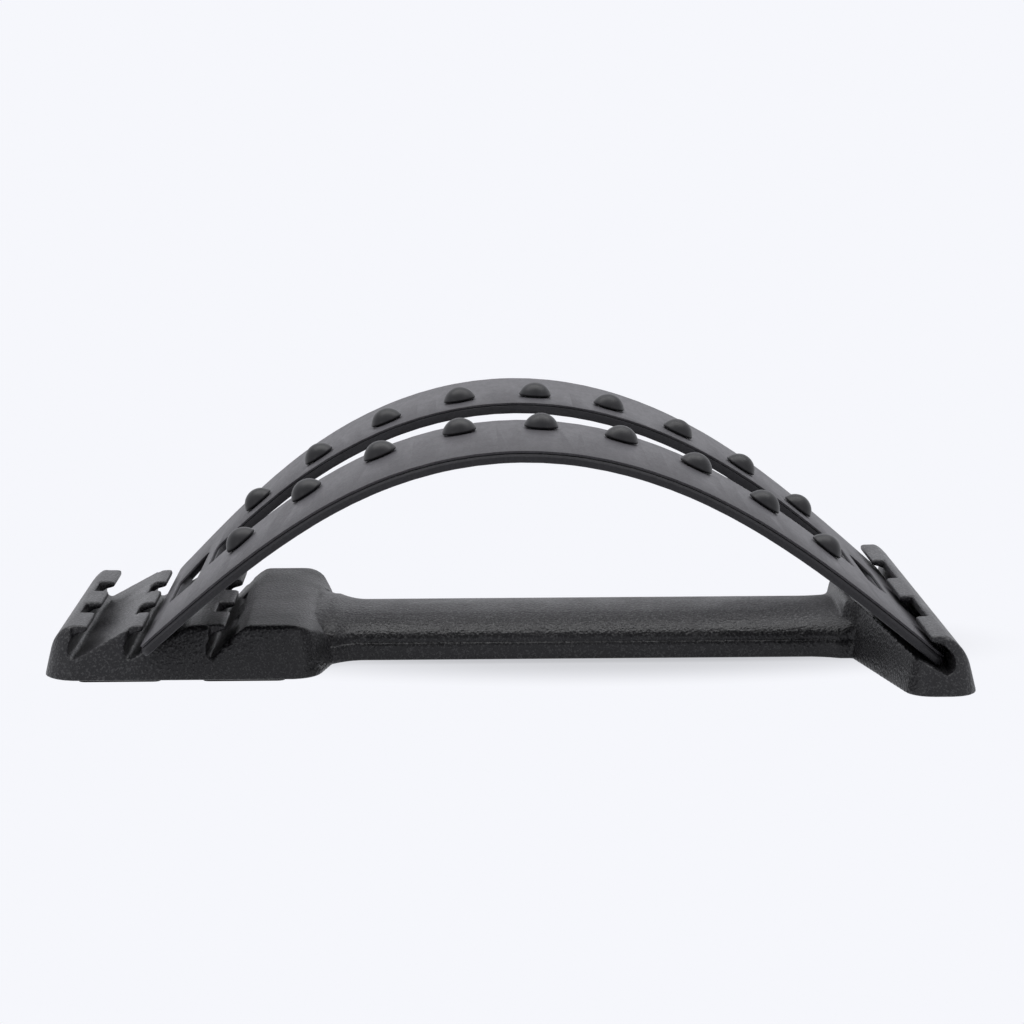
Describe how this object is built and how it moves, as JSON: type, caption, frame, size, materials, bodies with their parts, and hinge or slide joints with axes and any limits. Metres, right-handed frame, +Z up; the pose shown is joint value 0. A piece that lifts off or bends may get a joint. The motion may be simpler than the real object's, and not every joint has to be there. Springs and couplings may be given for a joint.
{
  "type": "back stretcher",
  "caption": "Bent arch board with two rows of rubber nubs, hooked into a three-step rack block and a single-rack foot joined by a bar.",
  "frame": {"origin": "on the floor, under the middle of the base's length and width", "axes": "+X along the base from the three-step rack block to the single-rack foot, +Y to the rear, +Z up"},
  "size_m": [0.3818, 0.245, 0.1092],
  "materials": {
    "base_plastic": "fine spark texture, black",
    "board_plastic": "fine matte, dark grey",
    "facing_plastic": "fine matte, dark warm grey",
    "nub_rubber": "satin rubber, near black",
    "pad_rubber": "matte rubber, black"
  },
  "bodies": {
    "base": {"base_moulding": "base_plastic", "foot_pad_1": "pad_rubber", "foot_pad_2": "pad_rubber", "foot_pad_3": "pad_rubber", "foot_pad_4": "pad_rubber", "foot_pad_5": "pad_rubber", "foot_pad_6": "pad_rubber"},
    "arch": {"arch_board": "board_plastic", "arch_facing": "facing_plastic", "nub_front_1": "nub_rubber", "nub_front_2": "nub_rubber", "nub_front_3": "nub_rubber", "nub_front_4": "nub_rubber", "nub_front_5": "nub_rubber", "nub_front_6": "nub_rubber", "nub_front_7": "nub_rubber", "nub_front_8": "nub_rubber", "nub_front_9": "nub_rubber", "nub_rear_1": "nub_rubber", "nub_rear_2": "nub_rubber", "nub_rear_3": "nub_rubber", "nub_rear_4": "nub_rubber", "nub_rear_5": "nub_rubber", "nub_rear_6": "nub_rubber", "nub_rear_7": "nub_rubber", "nub_rear_8": "nub_rubber", "nub_rear_9": "nub_rubber"}
  },
  "joints": [
    {"name": "arch_swing", "type": "hinge", "parent": "base", "child": "arch", "pos_m": [0.17812, 0, 0.0123], "axis": [0, 1, 0], "range_deg": [0, 3]}
  ]
}
